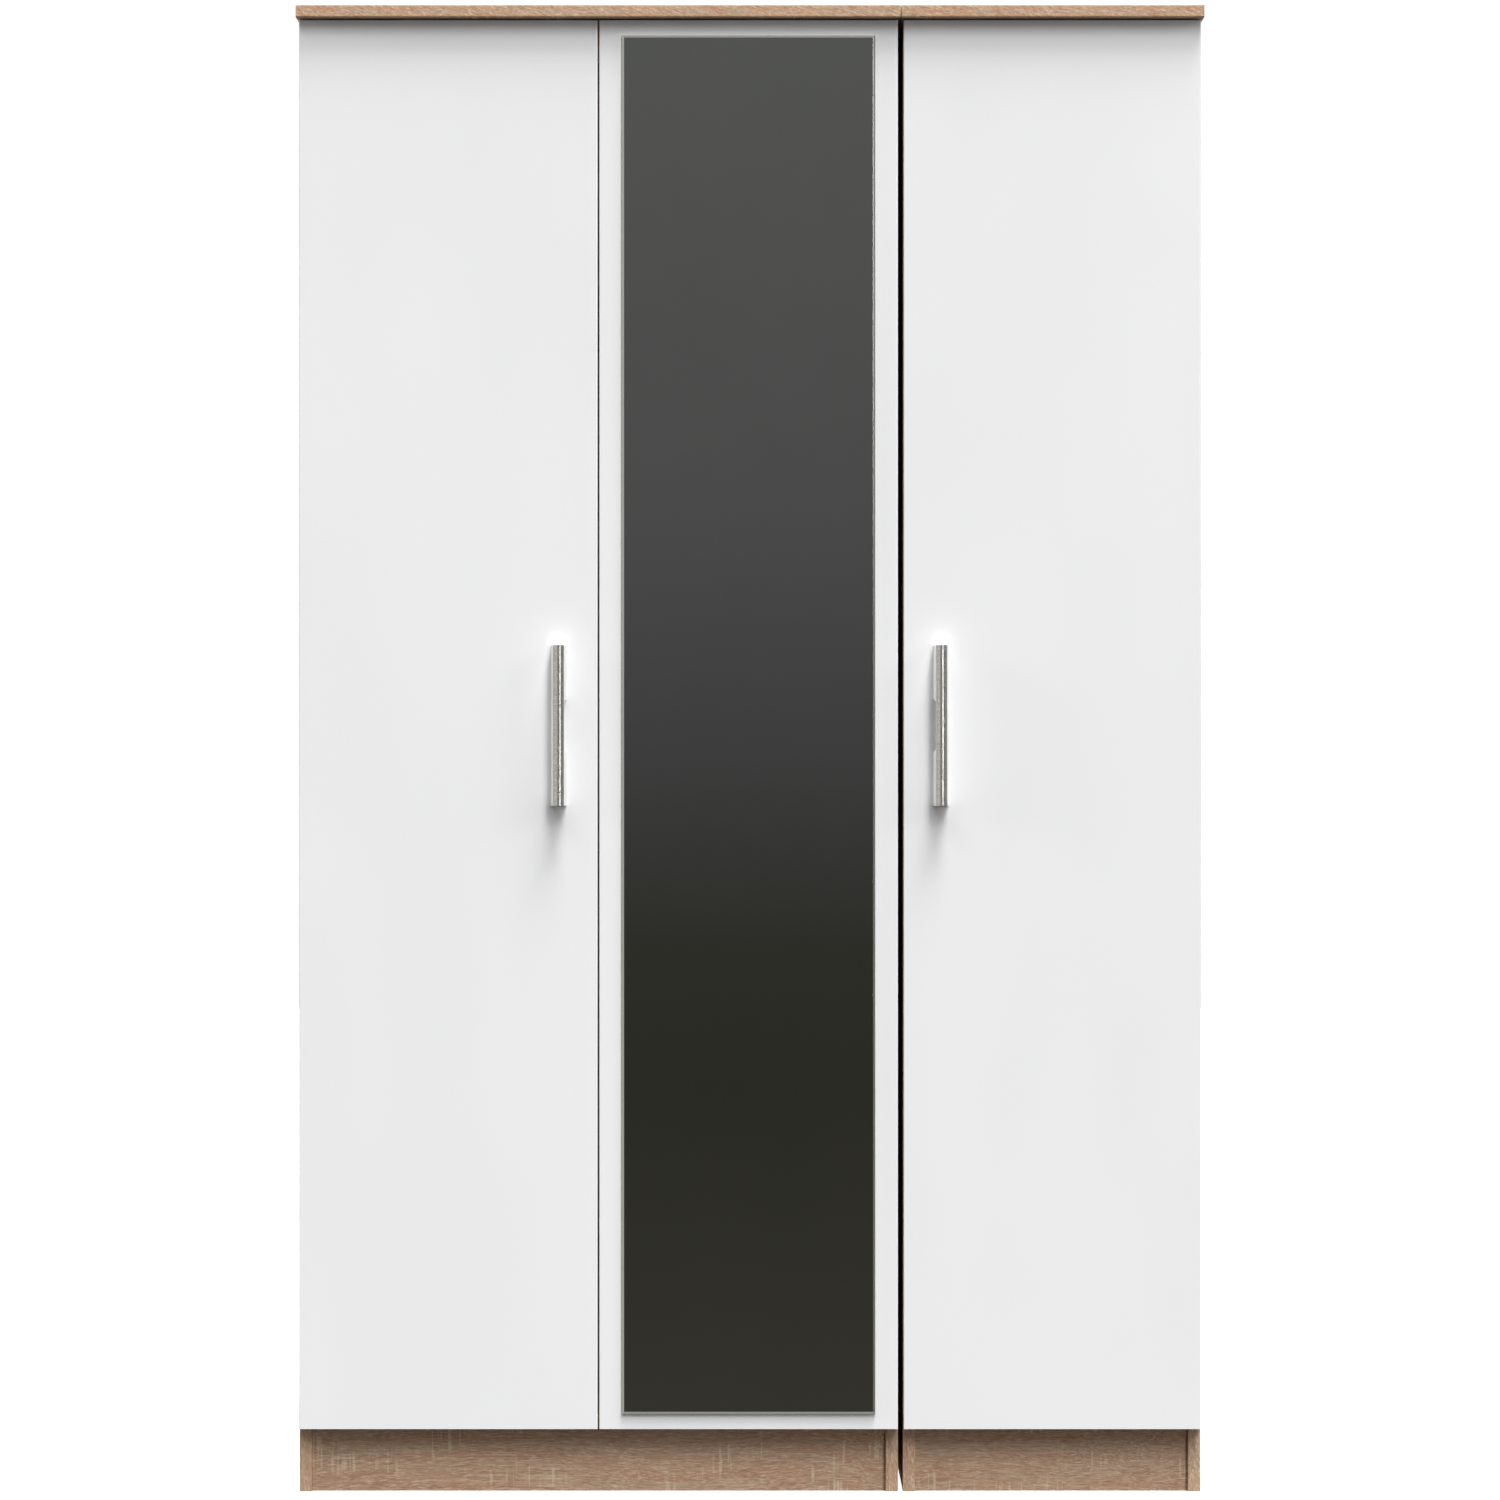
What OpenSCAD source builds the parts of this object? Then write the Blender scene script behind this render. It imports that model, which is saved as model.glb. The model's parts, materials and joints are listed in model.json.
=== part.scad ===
// Three-door wardrobe: a double unit and a single unit standing side by side.
// Origin at the middle of the footprint on the floor, X right, Y to the back, Z up.
// Every board, hinge piece, handle and fastener is its own solid.

/* [Overall] */
// Height from the floor to the upper face of the tops
overall_h = 1820; // [1700:5:2000]
// Width of the top board on the double unit
double_top_w = 739; // [700:1:800]
// Width of the top board on the single unit
single_top_w = 370; // [350:1:450]
// Depth of the top boards, from the rear to their front edge
top_depth = 530; // [480:1:600]
// Seam between the two top boards
top_seam = 1; // [0.5:0.5:3]
// Thickness of every laminated carcass board
board = 15; // [15:1:18]

/* [Carcass] */
// Depth of the side panels
carcass_depth = 495; // [450:1:560]
// How far a top stands past its side panels
side_overhang = 2.5; // [1:0.5:5]
// Height of the plinth boards under the base
plinth_h = 80; // [60:1:110]
// How far the plinth sits behind the front edge of the side panels
plinth_recess = 9; // [4:1:30]
// Height of the underside of the upper shelf
shelf_z = 1480; // [1400:5:1550]
// Radius on the front edge of the tops
top_edge_r = 2; // [0.5:0.5:3]
// Thickness of the hardboard backs
back_t = 3; // [2.5:0.5:4]
// Distance from the rear edge of the sides to the rear face of the backs
back_inset = 10; // [6:1:20]

/* [Doors] */
// Thickness of the doors
door_t = 18; // [16:1:22]
// Air between the carcass front and the rear face of the doors
door_air = 2; // [1.5:0.1:2.5]
// Height of the lower edge of the doors
door_z0 = 79; // [60:1:110]
// Gap between the upper edge of the doors and the tops
door_top_gap = 2; // [1.5:0.5:5]
// Gap between the left door and the mirror door
door_pair_gap = 2; // [1.5:0.5:4]
// How far a door edge lies inside the outer face of its carcass
door_reveal = 0.5; // [0.5:0.1:0.8]

/* [Mirror] */
// Width of the mirror glass
mirror_w = 310; // [250:1:350]
// Height of the lower edge of the mirror glass
mirror_z0 = 98; // [90:1:200]
// Height of the upper edge of the mirror glass
mirror_z1 = 1784; // [1500:1:1790]
// Thickness of the mirror glass
mirror_t = 4; // [3:1:5]

/* [Handles] */
// Length of a handle
handle_l = 196; // [120:1:260]
// Height of the middle of a handle
handle_z = 940; // [850:1:1050]
// Distance from the wardrobe's middle to the middle of a handle
handle_x = 233.7; // [220:0.1:260]
// Width of a handle where it meets the door
handle_base_w = 18.8; // [15:0.1:24]
// Width of a handle at its front
handle_front_w = 13.4; // [10:0.1:16]
// How far a handle stands out from the door
handle_out = 28; // [20:1:35]
// Wall thickness of the hollow handle
handle_wall = 2.5; // [2:0.1:3]
// Distance between the two handle screws
handle_pitch = 160; // [96:1:180]
// Length of the finger notch at the door
notch_base = 66; // [50:1:80]
// Length of the finger notch at the handle's front
notch_front = 58; // [40:1:64]

/* [Hanging rails] */
// Outer diameter of the hanging rails
rail_d = 25; // [20:1:30]
// Height of the middle of the hanging rails
rail_z = 1425; // [1380:1:1440]

/* [Hidden] */
$fn = 48;

// Tools that cut through a face start this far outside it.
cut = 1;

// Planes shared by the whole wardrobe.
total_w = double_top_w + single_top_w + top_seam;
front_of_top_to_handle = handle_out - (top_depth - carcass_depth - door_air - door_t);
y_rear = (top_depth + front_of_top_to_handle) / 2;
y_front = y_rear - carcass_depth;
y_door_back = y_front - door_air;
y_door_front = y_door_back - door_t;
y_back_rear = y_rear - back_inset;
y_back_front = y_back_rear - back_t;
// Boards stop this far before the backs, which leaves room for the joint strip.
rear_air = 1.3;
y_board_rear = y_back_front - rear_air;
top_z = overall_h - board;
base_z = plinth_h;
door_z1 = top_z - door_top_gap;
plinth_y = y_front + plinth_recess;
front_rail_h = 50;
wall_rail_h = 60;
shelf_setback = 5;

// Outer faces of the two units: [left, right].
double_x = [-total_w / 2 + side_overhang, -total_w / 2 + double_top_w - side_overhang];
single_x = [total_w / 2 - single_top_w + side_overhang, total_w / 2 - side_overhang];
units = [double_x, single_x];
unit_gap = single_x[0] - double_x[1];

// Door edges: [left, right].
pair_mid = (double_x[0] + double_x[1]) / 2;
left_door_x = [double_x[0] + door_reveal, pair_mid - door_pair_gap / 2];
mirror_door_x = [pair_mid + door_pair_gap / 2, double_x[1] - door_reveal];
right_door_x = [single_x[0] + door_reveal, single_x[1] - door_reveal];

// Backs sit in grooves in the side panels.
groove_w = 3.2;
groove_in = 6;
back_z0 = 60;
back_side_play = 0.5;
back_top_play = 0.5;
strip_web = 2;

// Cam fittings: a lock in one board pulls on a bolt screwed into the other.
cam_d = 15;
cam_deep = 12.5;
cam_from_edge = 24;
cam_front = 60;
cam_rear = 60;
bolt_d = 7;
bolt_grip = 11;
bolt_neck_d = 5;

// Concealed hinges. In a hinge's own frame u runs inward from the outer face of the
// carcass and v runs forward from the carcass front.
hinge_z = [door_z0 + 110, door_z0 + 610, door_z0 + 1115, door_z0 + 1614];
pin_a = [33.6, 10];
pin_b = [12.6, 10];
pin_d = 2.5;
link_eye_r = 2.6;
link_t = 2.6;
link_w = 5.6;
link_play = 0.05;
arm_tip_r = 2.8;
arm_tip_w = 10;
arm_slot_w = 6;
cup_u = 22;
cup_d = 35;
cup_wall = 1;
cup_deep = 12.3;
cup_flange_d = 38;
cup_flange_t = 0.8;
cup_screw_u = 28;
cup_screw_z = 24;
cup_screw_d = 3.5;
cup_screw_l = 12;
plate_v = -37;
plate_t = 1.5;
plate_screw_z = 16;
plate_screw_d = 5;
plate_screw_l = 11;
ear_w = 2.5;

// Mirror glass, its polished bevel and the tape that holds it.
tape_t = 0.8;
mirror_bevel = 2.6;
mirror_bevel_t = 1.2;
mirror_mid = (mirror_door_x[0] + mirror_door_x[1]) / 2;

// Door buffers: soft discs on the rear face near each door's free edge.
buffer_d = 8;
buffer_t = door_air - 0.1;
buffer_edge = 12;
buffer_z = [base_z + board / 2, top_z - front_rail_h / 2];

// Handles.
handle_screw_d = 4;
handle_boss_d = 8.6;
handle_front_r = 16;
handle_screw_z = [handle_z - handle_pitch / 2, handle_z + handle_pitch / 2];

// Hanging rails.
rail_y = 15;
rail_wall = 1;
rail_end_gap = 2;
socket_flange_d = 48;
socket_flange_t = 2.5;
socket_l = 12;
socket_wall = 1.8;
socket_screw_r = 19;
socket_screw_d = 3.5;
socket_screw_l = 13;

// Bolts that pull the two units together.
link_bolt_d = 6;
link_head_d = 13;
link_head_t = 2;
link_bolt_y = [y_front + 110, y_rear - 110];
link_bolt_z = [330, 1330];
spacer_d = 18;

// Holes in the wall rails.
wall_hole_d = 6;
wall_hole_z = top_z - wall_rail_h / 2;
double_wall_hole_x = [pair_mid - 250, pair_mid + 250];
single_mid = (single_x[0] + single_x[1]) / 2;
single_wall_hole_x = [single_mid - 110, single_mid + 110];

// ---------------------------------------------------------------- helpers

// A box given by its two corners.
module block(low, high) {
  translate(low) cube(high - low);
}

// Puts its children at every hinge of a door. side is +1 where the hinge's outer
// face looks left and -1 where it looks right.
module at_hinges(x_outer, side) {
  for (z = hinge_z)
    translate([x_outer, y_front, z])
      mirror([side > 0 ? 1 : 0, 0, 0])
        rotate([0, 0, 180])
          children();
}

// A cylinder that runs forward along a hinge frame's v from v0.
module along_v(u, v0, z, d, l) {
  translate([u, v0, z]) rotate([-90, 0, 0]) cylinder(d = d, h = l);
}

// A cylinder along X, from x0 towards +X for a positive length.
module along_x(x0, y, z, d, l) {
  translate([min(x0, x0 + l), y, z]) rotate([0, 90, 0]) cylinder(d = d, h = abs(l));
}

// A cylinder along Y, from y0 towards +Y.
module along_y(x, y0, z, d, l) {
  translate([x, y0, z]) rotate([-90, 0, 0]) cylinder(d = d, h = l);
}

// Screw with its head's outer face at z = 0, pointing to +Z, with a cross recess.
module screw(head_d, head_t, shank_d, shank_l) {
  recess = head_d * 0.55;
  difference() {
    union() {
      cylinder(d1 = head_d * 0.8, d2 = head_d, h = head_t);
      cylinder(d = shank_d, h = head_t + shank_l - shank_d / 2);
      translate([0, 0, head_t + shank_l - shank_d / 2])
        cylinder(d1 = shank_d, d2 = shank_d * 0.2, h = shank_d / 2);
    }
    for (a = [0, 90])
      rotate([0, 0, a])
        translate([-recess / 2, -0.4, -cut])
          cube([recess, 0.8, head_t * 0.6 + cut]);
  }
}

// ---------------------------------------------------------------- tops, bases, shelves

// Top board with a rounded front edge, from x0 to x1.
module top_board(x0, x1) {
  y0 = y_rear - top_depth;
  r = top_edge_r;
  translate([x0, 0, 0])
    rotate([90, 0, 90])
      linear_extrude(x1 - x0) {
        translate([y0 + r, top_z]) square([top_depth - r, board]);
        translate([y0, top_z + r]) square([2 * r, board - 2 * r]);
        for (z = [top_z + r, overall_h - r])
          translate([y0 + r, z]) circle(r);
      }
}

module double_top() {
  color("tan") difference() {
    top_board(-total_w / 2, -total_w / 2 + double_top_w);
    top_bolt_holes(double_x);
  }
}

module single_top() {
  color("tan") difference() {
    top_board(total_w / 2 - single_top_w, total_w / 2);
    top_bolt_holes(single_x);
  }
}

// Blind holes in a top for the bolts that stand up from its side panels.
module top_bolt_holes(unit) {
  for (x = [unit[0] + board / 2, unit[1] - board / 2])
    for (y = cam_rows())
      translate([x, y, top_z - cut]) cylinder(d = bolt_d, h = bolt_grip + cut);
}

// The front and the rear row of cam fittings.
function cam_rows() = [y_front + cam_front, y_board_rear - cam_rear];

// Board between two side panels, with cam pockets in its underside.
module cross_board(unit, z, setback) {
  x0 = unit[0] + board;
  x1 = unit[1] - board;
  difference() {
    block([x0, y_front + setback, z], [x1, y_board_rear, z + board]);
    for (y = cam_rows()) {
      for (x = [x0 + cam_from_edge, x1 - cam_from_edge])
        translate([x, y, z - cut]) cylinder(d = cam_d, h = cam_deep + cut);
      along_x(x0 - cut, y, z + board / 2, bolt_neck_d, cam_from_edge + cut);
      along_x(x1 + cut, y, z + board / 2, bolt_neck_d, -cam_from_edge - cut);
    }
  }
}

module double_base() {
  color("tan") cross_board(double_x, base_z, 0);
}

module single_base() {
  color("tan") cross_board(single_x, base_z, 0);
}

module double_shelf() {
  color("tan") cross_board(double_x, shelf_z, shelf_setback);
}

module single_shelf() {
  color("tan") cross_board(single_x, shelf_z, shelf_setback);
}

// ---------------------------------------------------------------- side panels

// Side panel of a unit. in_dir is +1 when the unit's inside lies towards +X.
module side_panel(x_outer, in_dir) {
  x_in = x_outer + in_dir * board;
  mid = x_outer + in_dir * board / 2;
  difference() {
    block([min(x_outer, x_in), y_front, 0], [max(x_outer, x_in), y_rear, top_z]);
    // groove for the back
    translate([x_in - (in_dir > 0 ? groove_in : cut), y_back_front - 0.1, back_z0 - 0.5])
      cube([groove_in + cut, groove_w, top_z]);
    for (y = cam_rows()) {
      // bolts of the base and the shelf
      for (z = [base_z, shelf_z])
        along_x(x_in + in_dir * cut, y, z + board / 2, bolt_d, -in_dir * (bolt_grip + cut));
      // lock and bolt under the top
      along_x(x_in + in_dir * cut, y, top_z - cam_from_edge, cam_d, -in_dir * (cam_deep + cut));
      translate([mid, y, top_z - cam_from_edge])
        cylinder(d = bolt_neck_d, h = cam_from_edge + cut);
    }
    // screws of the rail socket
    for (a = [90, 210, 330])
      along_x(x_in + in_dir * cut, rail_y + socket_screw_r * cos(a), rail_z + socket_screw_r * sin(a),
        socket_screw_d, -in_dir * (socket_screw_l - socket_flange_t + cut));
  }
}

// Holes for the hinge plate screws, in a side panel's inner face.
module plate_screw_holes(x_outer, side) {
  at_hinges(x_outer, side)
    for (z = [-plate_screw_z, plate_screw_z])
      translate([board + cut, plate_v, z])
        rotate([0, -90, 0])
          cylinder(d = plate_screw_d, h = plate_screw_l + cut);
}

// Through holes for the bolts between the units.
module link_bolt_holes() {
  for (y = link_bolt_y)
    for (z = link_bolt_z)
      along_x(double_x[1] - board - cut, y, z, link_bolt_d, 2 * board + unit_gap + 2 * cut);
}

module double_side_left() {
  color("tan") difference() {
    side_panel(double_x[0], 1);
    plate_screw_holes(double_x[0], 1);
  }
}

module double_side_right() {
  color("tan") difference() {
    side_panel(double_x[1], -1);
    plate_screw_holes(double_x[1], -1);
    link_bolt_holes();
  }
}

module single_side_left() {
  color("tan") difference() {
    side_panel(single_x[0], 1);
    link_bolt_holes();
  }
}

module single_side_right() {
  color("tan") difference() {
    side_panel(single_x[1], -1);
    plate_screw_holes(single_x[1], -1);
  }
}

// ---------------------------------------------------------------- plinths, rails, backs

// Upright board across a unit, from y0 to the back and from z0 to z1.
module upright_board(unit, y0, z0, z1) {
  block([unit[0] + board, y0, z0], [unit[1] - board, y0 + board, z1]);
}

module double_plinth() {
  color("tan") upright_board(double_x, plinth_y, 0, plinth_h);
}

module single_plinth() {
  color("tan") upright_board(single_x, plinth_y, 0, plinth_h);
}

module double_rear_plinth() {
  color("tan") upright_board(double_x, y_board_rear - board, 0, plinth_h);
}

module single_rear_plinth() {
  color("tan") upright_board(single_x, y_board_rear - board, 0, plinth_h);
}

module double_front_rail() {
  color("tan") upright_board(double_x, y_front, top_z - front_rail_h, top_z);
}

module single_front_rail() {
  color("tan") upright_board(single_x, y_front, top_z - front_rail_h, top_z);
}

// Wall fixing holes that run through a wall rail and the back behind it.
module wall_holes(xs) {
  for (x = xs)
    along_y(x, y_board_rear - board - cut, wall_hole_z, wall_hole_d, board + rear_air + back_t + 2 * cut);
}

module double_wall_rail() {
  color("tan") difference() {
    upright_board(double_x, y_board_rear - board, top_z - wall_rail_h, top_z);
    wall_holes(double_wall_hole_x);
  }
}

module single_wall_rail() {
  color("tan") difference() {
    upright_board(single_x, y_board_rear - board, top_z - wall_rail_h, top_z);
    wall_holes(single_wall_hole_x);
  }
}

// Thin back between two X values, drilled for the wall fixings.
module back_sheet(x0, x1, holes) {
  difference() {
    block([x0, y_back_front, back_z0], [x1, y_back_rear, top_z - back_top_play]);
    wall_holes(holes);
  }
}

module double_back_left() {
  color("peru") back_sheet(double_x[0] + board - groove_in + back_side_play,
    pair_mid - strip_web / 2, [double_wall_hole_x[0]]);
}

module double_back_right() {
  color("peru") back_sheet(pair_mid + strip_web / 2,
    double_x[1] - board + groove_in - back_side_play, [double_wall_hole_x[1]]);
}

module single_back() {
  color("peru") back_sheet(single_x[0] + board - groove_in + back_side_play,
    single_x[1] - board + groove_in - back_side_play, single_wall_hole_x);
}

// H-shaped strip that joins the two halves of the double back.
module back_joint_strip() {
  flange_w = 14;
  flange_t = 1;
  h = top_z - back_top_play - back_z0;
  color("sienna") translate([pair_mid, y_back_front, back_z0]) linear_extrude(h) {
    translate([-strip_web / 2, -flange_t]) square([strip_web, back_t + 2 * flange_t]);
    translate([-flange_w / 2, -flange_t]) square([flange_w, flange_t]);
    translate([-flange_w / 2, back_t]) square([flange_w, flange_t]);
  }
}

// ---------------------------------------------------------------- hanging rails

// Chromed tube across a unit, held by a socket at each end.
module hanging_rail(unit) {
  x0 = unit[0] + board + rail_end_gap;
  l = unit[1] - unit[0] - 2 * board - 2 * rail_end_gap;
  difference() {
    along_x(x0, rail_y, rail_z, rail_d, l);
    along_x(x0 - cut, rail_y, rail_z, rail_d - 2 * rail_wall, l + 2 * cut);
  }
}

module double_hanging_rail() {
  color("silver") hanging_rail(double_x);
}

module single_hanging_rail() {
  color("silver") hanging_rail(single_x);
}

// Places its children on all four inner faces, with +Z pointing into the unit.
module at_rail_ends() {
  for (unit = units) {
    translate([unit[0] + board, rail_y, rail_z]) rotate([0, 90, 0]) rotate([0, 0, 90]) children();
    translate([unit[1] - board, rail_y, rail_z]) rotate([0, -90, 0]) rotate([0, 0, -90]) children();
  }
}

module rail_sockets() {
  color("silver") at_rail_ends() difference() {
    union() {
      cylinder(d = socket_flange_d, h = socket_flange_t);
      cylinder(d = rail_d + 2 * socket_wall, h = socket_l);
    }
    translate([0, 0, rail_end_gap]) cylinder(d = rail_d, h = socket_l);
    for (a = [90, 210, 330])
      rotate([0, 0, a])
        translate([socket_screw_r, 0, -cut])
          cylinder(d = socket_screw_d, h = socket_flange_t + 2 * cut);
  }
}

module rail_socket_screws() {
  head_t = 1.6;
  color("gainsboro") at_rail_ends()
    for (a = [90, 210, 330])
      rotate([0, 0, a])
        translate([socket_screw_r, 0, socket_flange_t + head_t])
          rotate([180, 0, 0])
            screw(6.5, head_t, socket_screw_d, socket_screw_l);
}

// ---------------------------------------------------------------- carcass fittings

// Lock with its open face at z = 0 and its body towards +Z.
module cam_lock() {
  slot_l = 8;
  difference() {
    cylinder(d = cam_d, h = cam_deep);
    for (a = [0, 90])
      rotate([0, 0, a])
        translate([-slot_l / 2, -0.6, -cut])
          cube([slot_l, 1.2, 2 + cut]);
    // passage for the bolt's neck and head
    translate([0, 0, board / 2]) rotate([0, 90, 0]) cylinder(d = bolt_neck_d, h = cam_d);
    translate([0, 0, board / 2]) sphere(d = bolt_neck_d + 2);
  }
}

// Bolt screwed in at z = 0, with its neck towards +Z as far as the lock's middle.
module cam_bolt() {
  head_l = 3;
  translate([0, 0, -bolt_grip]) cylinder(d = bolt_d, h = bolt_grip);
  cylinder(d = bolt_neck_d - 1, h = cam_from_edge);
  translate([0, 0, cam_from_edge - head_l / 2]) cylinder(d = bolt_neck_d, h = head_l);
}

module cam_locks() {
  color("silver") for (unit = units)
    for (y = cam_rows())
      for (end = [0, 1]) {
        dir = end == 0 ? 1 : -1;
        x_in = unit[end] + dir * board;
        for (z = [base_z, shelf_z])
          translate([x_in + dir * cam_from_edge, y, z])
            rotate([0, 0, end == 0 ? 180 : 0])
              cam_lock();
        translate([x_in, y, top_z - cam_from_edge])
          rotate([0, -90 * dir, 0])
            rotate([0, 0, end == 0 ? 0 : 180])
              cam_lock();
      }
}

module cam_bolts() {
  color("silver") for (unit = units)
    for (y = cam_rows())
      for (end = [0, 1]) {
        dir = end == 0 ? 1 : -1;
        x_in = unit[end] + dir * board;
        for (z = [base_z, shelf_z])
          translate([x_in, y, z + board / 2]) rotate([0, 90 * dir, 0]) cam_bolt();
        translate([unit[end] + dir * board / 2, y, top_z]) rotate([180, 0, 0]) cam_bolt();
      }
}

// Bolt with a broad flat head at each inner face of the neighbouring side panels.
module unit_link_bolts() {
  x0 = double_x[1] - board;
  x1 = single_x[0] + board;
  color("silver") for (y = link_bolt_y)
    for (z = link_bolt_z)
      difference() {
        union() {
          along_x(x0, y, z, link_bolt_d, x1 - x0);
          along_x(x0 - link_head_t, y, z, link_head_d, link_head_t);
          along_x(x1, y, z, link_head_d, link_head_t);
        }
        along_x(x0 - link_head_t - cut, y, z, link_bolt_d / 2, link_head_t + cut);
      }
}

module unit_link_spacers() {
  color("dimgray") for (y = link_bolt_y)
    for (z = link_bolt_z)
      difference() {
        along_x(double_x[1], y, z, spacer_d, unit_gap);
        along_x(double_x[1] - cut, y, z, link_bolt_d, unit_gap + 2 * cut);
      }
}

// ---------------------------------------------------------------- hinges

// All hinges that belong to the carcass side: every door's outer face and side.
module at_all_hinges() {
  at_hinges(double_x[0], 1) children();
  at_hinges(double_x[1], -1) children();
  at_hinges(single_x[1], -1) children();
}

// Base plate on the side panel, with a raised rib that carries the arm.
module hinge_plate() {
  rib_top = 20;
  difference() {
    union() {
      block([board, plate_v - 6, -16], [board + plate_t, plate_v + 6, 16]);
      for (z = [-plate_screw_z, plate_screw_z])
        translate([board, plate_v, z]) rotate([0, 90, 0]) cylinder(d = 12, h = plate_t);
      block([board, plate_v - 21, -6], [rib_top, plate_v + 15, 6]);
    }
    for (z = [-plate_screw_z, plate_screw_z])
      translate([board - cut, plate_v, z])
        rotate([0, 90, 0])
          cylinder(d = plate_screw_d, h = plate_t + 2 * cut);
  }
}

module hinge_plates() {
  color("silver") at_all_hinges() hinge_plate();
}

module hinge_plate_screws() {
  head_t = 1.6;
  color("gainsboro") at_all_hinges()
    for (z = [-plate_screw_z, plate_screw_z])
      translate([board + plate_t + head_t, plate_v, z])
        rotate([0, -90, 0])
          screw(8, head_t, plate_screw_d, plate_t + plate_screw_l - 0.5);
}

// Arm from the plate to the carcass-side pin, forked at its tip.
module hinge_arm() {
  rear_w = 15;
  u_tip = [pin_a[0] - arm_tip_r, pin_a[0] + arm_tip_r];
  difference() {
    union() {
      linear_extrude(rear_w, center = true)
        polygon([[20, -60], [27, -60], [30, -56], [30, -30], [u_tip[1], -12], [u_tip[0], -10],
          [26, -18], [20, -22]]);
      linear_extrude(arm_tip_w, center = true) {
        translate([u_tip[0], -14]) square([2 * arm_tip_r, pin_a[1] + 14]);
        translate(pin_a) circle(arm_tip_r);
      }
    }
    // fork for the link
    block([0, pin_a[1] - arm_tip_r - 0.6, -arm_slot_w / 2], [60, 60, arm_slot_w / 2]);
    translate([pin_a[0], pin_a[1], -arm_tip_w]) cylinder(d = pin_d, h = 2 * arm_tip_w);
    // hollow on the side that faces the plate
    block([20 - cut, -58, -5.5], [24, -25, 5.5]);
    // seats of the two adjusting screws
    for (v = [-50, -32])
      translate([26, v, 0]) rotate([0, 90, 0]) cylinder(d = 6, h = 12);
  }
  // adjusting screws, cast in as raised discs with a slot
  for (v = [-50, -32])
    difference() {
      translate([24, v, 0]) rotate([0, 90, 0]) cylinder(d = 5.4, h = 5);
      block([28, v - 2.2, -0.4], [30, v + 2.2, 0.4]);
    }
}

module hinge_arms() {
  color("silver") at_all_hinges() hinge_arm();
}

module hinge_arm_pins() {
  color("gray") at_all_hinges()
    translate([pin_a[0], pin_a[1], -arm_tip_w / 2])
      cylinder(d = pin_d, h = arm_tip_w);
}

// Link between the arm's pin and the cup's pin.
module hinge_link() {
  span = pin_a[0] - pin_b[0];
  difference() {
    linear_extrude(link_w, center = true) {
      for (p = [pin_a, pin_b])
        translate(p) circle(link_eye_r);
      translate([pin_b[0], pin_b[1] - link_t / 2]) square([span, link_t]);
    }
    for (p = [pin_a, pin_b])
      translate([p[0], p[1], -link_w]) cylinder(d = pin_d + 2 * link_play, h = 2 * link_w);
  }
}

// Outline of the flange on the cup, in u and z.
module cup_flange() {
  difference() {
    union() {
      translate([cup_u, 0]) circle(d = cup_flange_d);
      translate([cup_screw_u - 6.5, -cup_screw_z]) square([13, 2 * cup_screw_z]);
      for (z = [-cup_screw_z, cup_screw_z])
        translate([cup_screw_u, z]) circle(6.5);
    }
    translate([cup_u, 0]) circle(d = cup_d - 2 * cup_wall);
    for (z = [-cup_screw_z, cup_screw_z])
      translate([cup_screw_u, z]) circle(d = cup_screw_d);
  }
}

// Cup pressed into the door, with two ears for the link's pin.
module hinge_cup() {
  ear_u = 3;
  ear_z = link_w / 2 + 0.3;
  floor_v = door_air + cup_deep - cup_wall;
  difference() {
    along_v(cup_u, door_air, 0, cup_d, cup_deep);
    along_v(cup_u, door_air - cut, 0, cup_d - 2 * cup_wall, cup_deep - cup_wall + cut);
  }
  translate([0, door_air, 0]) rotate([90, 0, 0]) linear_extrude(cup_flange_t) cup_flange();
  for (s = [-1, 1])
    difference() {
      translate([0, 0, s * (ear_z + ear_w / 2)])
        linear_extrude(ear_w, center = true)
          union() {
            translate(pin_b) circle(ear_u);
            translate([pin_b[0] - ear_u, pin_b[1]]) square([2 * ear_u, floor_v - pin_b[1] + 0.5]);
          }
      translate([pin_b[0], pin_b[1], -10]) cylinder(d = pin_d, h = 20);
    }
}

module cup_screws(x_outer, side) {
  head_t = 1.2;
  at_hinges(x_outer, side)
    for (z = [-cup_screw_z, cup_screw_z])
      translate([cup_screw_u, door_air - cup_flange_t - head_t, z])
        rotate([-90, 0, 0])
          screw(7, head_t, cup_screw_d, cup_flange_t + cup_screw_l);
}

module cup_pins(x_outer, side) {
  l = link_w + 0.6 + 2 * ear_w;
  at_hinges(x_outer, side)
    translate([pin_b[0], pin_b[1], -l / 2])
      cylinder(d = pin_d, h = l);
}

// ---------------------------------------------------------------- doors

// Door with the bores for its hinge cups and their screws.
module door_panel(x, x_outer, side) {
  difference() {
    block([x[0], y_door_front, door_z0], [x[1], y_door_back, door_z1]);
    at_hinges(x_outer, side) {
      along_v(cup_u, door_air - cut, 0, cup_d, cup_deep + cut);
      for (z = [-cup_screw_z, cup_screw_z])
        along_v(cup_screw_u, door_air - cut, z, cup_screw_d, cup_screw_l + cut);
    }
  }
}

// Through holes for a handle's screws.
module handle_screw_holes(x) {
  for (z = handle_screw_z)
    along_y(x, y_door_front - cut, z, handle_screw_d, door_t + 2 * cut);
}

module left_door() {
  color("white") difference() {
    door_panel(left_door_x, double_x[0], 1);
    handle_screw_holes(-handle_x);
  }
}

module mirror_door() {
  color("white") door_panel(mirror_door_x, double_x[1], -1);
}

module right_door() {
  color("white") difference() {
    door_panel(right_door_x, single_x[1], -1);
    handle_screw_holes(handle_x);
  }
}

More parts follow.
